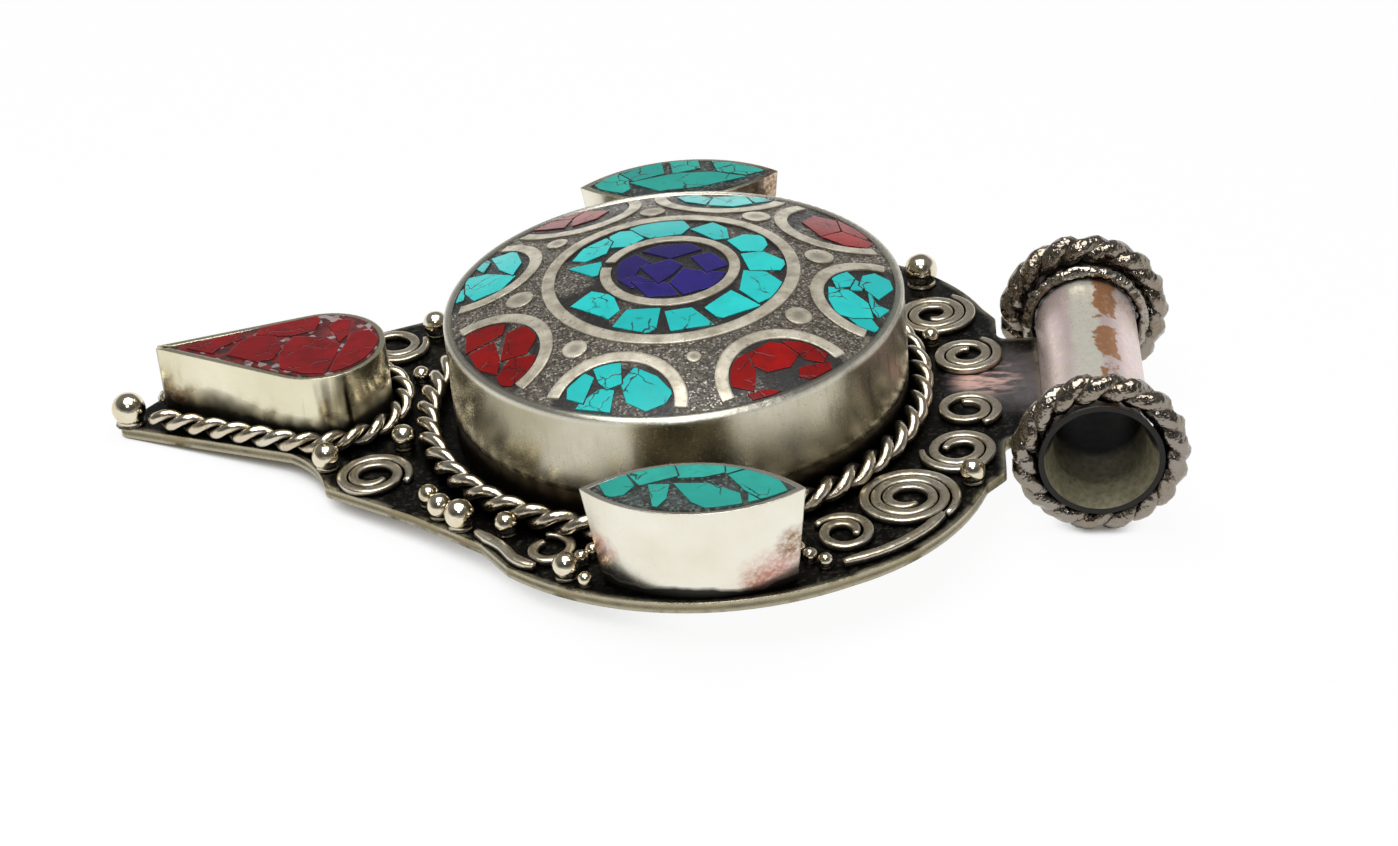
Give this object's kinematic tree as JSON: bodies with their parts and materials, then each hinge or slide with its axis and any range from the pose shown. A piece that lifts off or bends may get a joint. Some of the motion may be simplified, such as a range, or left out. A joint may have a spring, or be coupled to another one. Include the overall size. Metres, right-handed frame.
{
  "type": "amulet box pendant",
  "caption": "Pendant plate with a round amulet box under a lift-off domed inlaid lid, stone-set cups, wire scrolls, a pointed tail and a flared tube to hang it from a cord.",
  "frame": {"origin": "on the axis of the round box, at the back face of the plate", "axes": "+X along the pendant to the hanging tube, +Z out of the front along the box axis, +Y to the side with the far cup"},
  "size_m": [0.0756, 0.049, 0.0169],
  "materials": {
    "plate_metal": "dark patina, worn",
    "box_metal": "satin",
    "pale_metal": "satin with heat stains",
    "ornament_metal": "polished tops, dark grooves",
    "inlay_wire": "ground flat",
    "inlay_ground": "speckled mastic",
    "coral_matrix": "ground stone",
    "lapis": "polished stone",
    "turquoise": "polished stone",
    "coral": "polished stone"
  },
  "bodies": {
    "case": {"base_plate": "plate_metal", "box_wall": "box_metal", "seat_ring": "box_metal", "box_rope": "ornament_metal", "near_cup_wall": "pale_metal", "near_cup_ground": "inlay_ground", "near_cup_chips": "turquoise", "far_cup_wall": "pale_metal", "far_cup_ground": "inlay_ground", "far_cup_chips": "turquoise", "tear_wall": "pale_metal", "tear_ground": "coral_matrix", "tear_chips": "coral", "tear_rope": "ornament_metal", "tail_ball": "ornament_metal", "scroll_left_near": "ornament_metal", "scroll_left_far": "ornament_metal", "scroll_loop_left_near": "ornament_metal", "scroll_loop_left_far": "ornament_metal", "scroll_loop_right_near": "ornament_metal", "scroll_loop_right_far": "ornament_metal", "scroll_large_near": "ornament_metal", "scroll_large_far": "ornament_metal", "scroll_right_near": "ornament_metal", "scroll_right_mid_near": "ornament_metal", "scroll_right_mid_far": "ornament_metal", "edge_wire_mid_near": "ornament_metal", "edge_wire_right_near": "ornament_metal", "balls": "ornament_metal", "grains": "ornament_metal", "bail_tube": "pale_metal", "bail_rope_near": "ornament_metal", "bail_rope_far": "ornament_metal", "bail_wire_near": "ornament_metal", "bail_wire_far": "ornament_metal"},
    "lid": {"lid_wall": "box_metal", "lid_tray": "box_metal", "inlay_ground": "inlay_ground", "inner_ring_wire": "inlay_wire", "outer_ring_wire": "inlay_wire", "petal_wire_1": "inlay_wire", "petal_wire_2": "inlay_wire", "petal_wire_3": "inlay_wire", "petal_wire_4": "inlay_wire", "petal_wire_5": "inlay_wire", "petal_wire_6": "inlay_wire", "petal_wire_7": "inlay_wire", "petal_wire_8": "inlay_wire", "dot_pins": "inlay_wire", "lapis_chips": "lapis", "ring_chips": "turquoise", "petal_turquoise_chips": "turquoise", "petal_coral_chips": "coral"}
  },
  "joints": [
    {"name": "lid_lift", "type": "slide", "parent": "case", "child": "lid", "axis": [0, 0, 1], "range_m": [0, 0.016]}
  ]
}
